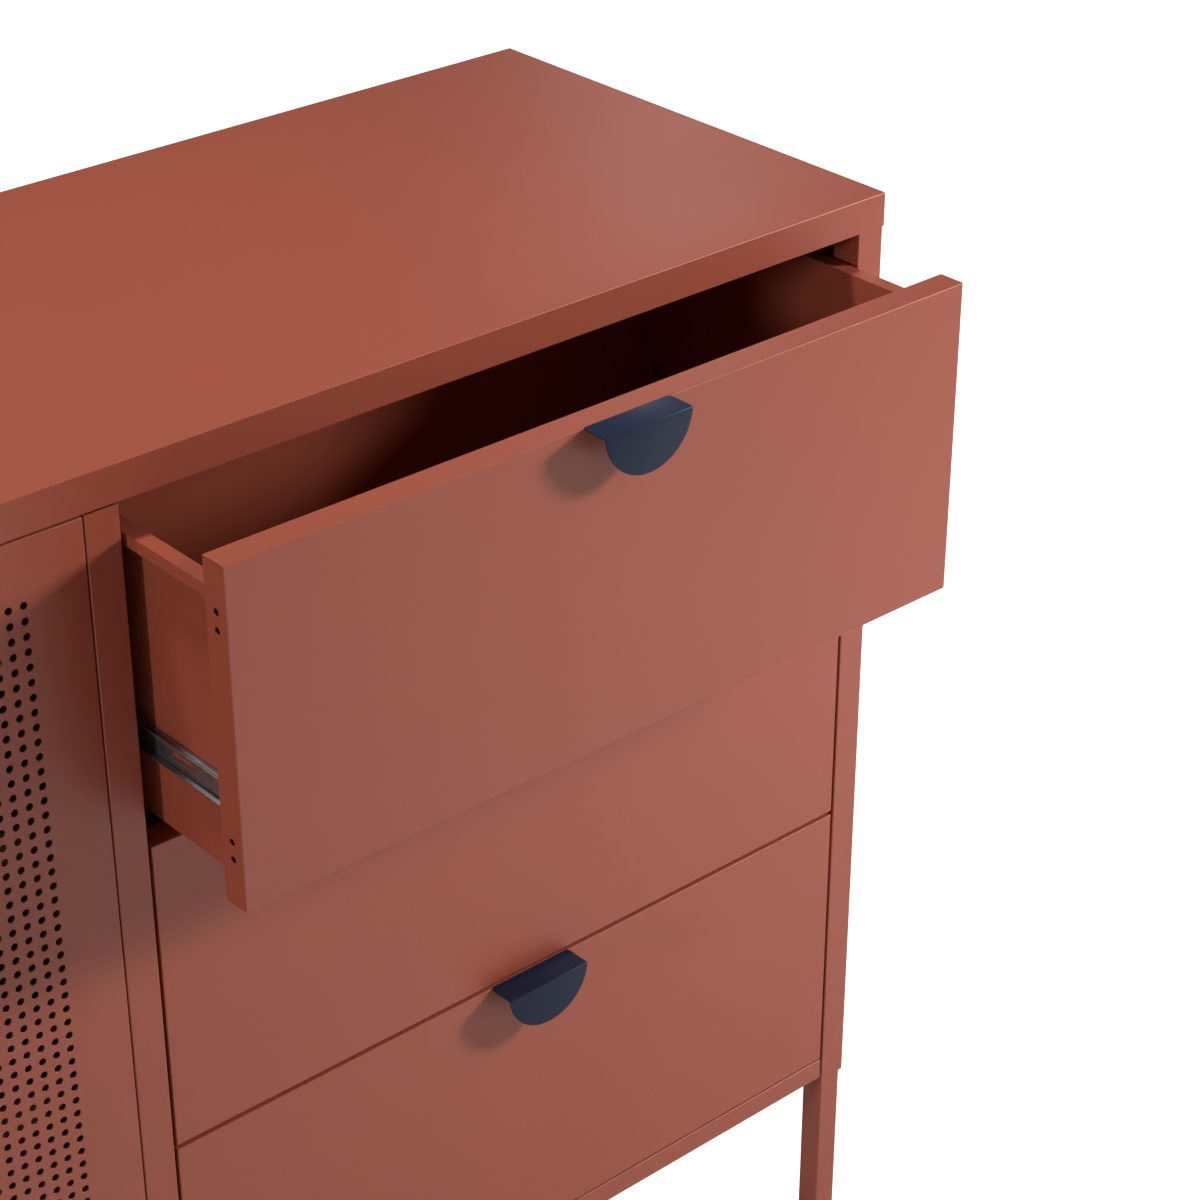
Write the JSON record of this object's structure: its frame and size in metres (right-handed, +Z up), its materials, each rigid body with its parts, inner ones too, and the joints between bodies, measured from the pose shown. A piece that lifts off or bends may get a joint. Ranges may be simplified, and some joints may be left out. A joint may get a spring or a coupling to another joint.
{
  "type": "steel sideboard",
  "caption": "Low steel sideboard on square legs: a bay with perforated doors and shelves beside a bay of wide drawers on ball-bearing slides, with half-moon pulls.",
  "frame": {"origin": "on the floor, at the middle of the bounding box of the whole piece with its top drawer standing open", "axes": "+X to the right along the front, +Y to the back, +Z up; drawers open towards -Y"},
  "size_m": [1.2714, 0.5188, 0.9],
  "materials": {
    "terracotta_steel": "satin powder coat",
    "navy_steel": "satin powder coat",
    "zinc_steel": "zinc plated",
    "ball_steel": "polished",
    "black_plastic": "matte",
    "nylon": "matte"
  },
  "bodies": {
    "cabinet": {"back_panel": "terracotta_steel", "back_screws": "zinc_steel", "bottom_panel_left": "terracotta_steel", "bottom_panel_right": "terracotta_steel", "door_catches": "nylon", "foot_caps": "black_plastic", "hinge_bushes": "black_plastic", "leg_front_left": "terracotta_steel", "leg_front_right": "terracotta_steel", "leg_rear_left": "terracotta_steel", "leg_rear_right": "terracotta_steel", "partition_panel": "terracotta_steel", "shelf_angles": "terracotta_steel", "shelf_lower": "terracotta_steel", "shelf_upper": "terracotta_steel", "side_brackets": "terracotta_steel", "side_panel_left": "terracotta_steel", "side_panel_right": "terracotta_steel", "slide_1_cabinet_members": "zinc_steel", "slide_2_cabinet_members": "zinc_steel", "slide_3_cabinet_members": "zinc_steel", "slide_screws": "zinc_steel", "top_panel": "terracotta_steel"},
    "middle_1": {"slide_1_middle_members": "zinc_steel"},
    "drawer_1": {"drawer_1_back": "terracotta_steel", "drawer_1_box": "terracotta_steel", "drawer_1_front": "terracotta_steel", "drawer_1_liner": "terracotta_steel", "drawer_1_pull": "navy_steel", "drawer_1_screws": "zinc_steel", "slide_1_drawer_members": "zinc_steel"},
    "outer_cages_1": {"slide_1_outer_cages": "ball_steel"},
    "inner_cages_1": {"slide_1_inner_cages": "ball_steel"},
    "middle_2": {"slide_2_middle_members": "zinc_steel"},
    "drawer_2": {"drawer_2_back": "terracotta_steel", "drawer_2_box": "terracotta_steel", "drawer_2_front": "terracotta_steel", "drawer_2_liner": "terracotta_steel", "drawer_2_pull": "navy_steel", "drawer_2_screws": "zinc_steel", "slide_2_drawer_members": "zinc_steel"},
    "outer_cages_2": {"slide_2_outer_cages": "ball_steel"},
    "inner_cages_2": {"slide_2_inner_cages": "ball_steel"},
    "middle_3": {"slide_3_middle_members": "zinc_steel"},
    "drawer_3": {"drawer_3_back": "terracotta_steel", "drawer_3_box": "terracotta_steel", "drawer_3_front": "terracotta_steel", "drawer_3_liner": "terracotta_steel", "drawer_3_pull": "navy_steel", "drawer_3_screws": "zinc_steel", "slide_3_drawer_members": "zinc_steel"},
    "outer_cages_3": {"slide_3_outer_cages": "ball_steel"},
    "inner_cages_3": {"slide_3_inner_cages": "ball_steel"},
    "door_right": {"door_right_panel": "terracotta_steel", "door_right_pins_and_rivets": "zinc_steel", "door_right_pull": "navy_steel"},
    "door_left": {"door_left_panel": "terracotta_steel", "door_left_pins_and_rivets": "zinc_steel", "door_left_pull": "navy_steel"}
  },
  "joints": [
    {"name": "middle_1_slide", "type": "slide", "parent": "cabinet", "child": "middle_1", "axis": [0, -1, 0], "range_m": [0, 0.15]},
    {"name": "drawer_1_slide", "type": "slide", "parent": "middle_1", "child": "drawer_1", "axis": [0, -1, 0], "range_m": [-0.0986, 0.0514]},
    {"name": "outer_cages_1_roll", "type": "slide", "parent": "cabinet", "child": "outer_cages_1", "axis": [0, -1, 0], "range_m": [0, 0.075]},
    {"name": "inner_cages_1_roll", "type": "slide", "parent": "middle_1", "child": "inner_cages_1", "axis": [0, -1, 0], "range_m": [-0.0493, 0.0257]},
    {"name": "middle_2_slide", "type": "slide", "parent": "cabinet", "child": "middle_2", "axis": [0, -1, 0], "range_m": [0, 0.15]},
    {"name": "drawer_2_slide", "type": "slide", "parent": "middle_2", "child": "drawer_2", "axis": [0, -1, 0], "range_m": [0, 0.15]},
    {"name": "outer_cages_2_roll", "type": "slide", "parent": "cabinet", "child": "outer_cages_2", "axis": [0, -1, 0], "range_m": [0, 0.075]},
    {"name": "inner_cages_2_roll", "type": "slide", "parent": "middle_2", "child": "inner_cages_2", "axis": [0, -1, 0], "range_m": [0, 0.075]},
    {"name": "middle_3_slide", "type": "slide", "parent": "cabinet", "child": "middle_3", "axis": [0, -1, 0], "range_m": [0, 0.15]},
    {"name": "drawer_3_slide", "type": "slide", "parent": "middle_3", "child": "drawer_3", "axis": [0, -1, 0], "range_m": [0, 0.15]},
    {"name": "outer_cages_3_roll", "type": "slide", "parent": "cabinet", "child": "outer_cages_3", "axis": [0, -1, 0], "range_m": [0, 0.075]},
    {"name": "inner_cages_3_roll", "type": "slide", "parent": "middle_3", "child": "inner_cages_3", "axis": [0, -1, 0], "range_m": [0, 0.075]},
    {"name": "door_right_hinge", "type": "hinge", "parent": "cabinet", "child": "door_right", "pos_m": [-0.0266, -0.1356, 0.52475], "axis": [0, 0, 1], "range_deg": [0, 90]},
    {"name": "door_left_hinge", "type": "hinge", "parent": "cabinet", "child": "door_left", "pos_m": [-0.5958, -0.1356, 0.52475], "axis": [0, 0, -1], "range_deg": [0, 90]}
  ],
  "couplings": [
    {"joint": "outer_cages_1_roll", "follows": "middle_1_slide", "ratio": 0.5},
    {"joint": "inner_cages_1_roll", "follows": "drawer_1_slide", "ratio": 0.5},
    {"joint": "outer_cages_2_roll", "follows": "middle_2_slide", "ratio": 0.5},
    {"joint": "inner_cages_2_roll", "follows": "drawer_2_slide", "ratio": 0.5},
    {"joint": "outer_cages_3_roll", "follows": "middle_3_slide", "ratio": 0.5},
    {"joint": "inner_cages_3_roll", "follows": "drawer_3_slide", "ratio": 0.5}
  ]
}
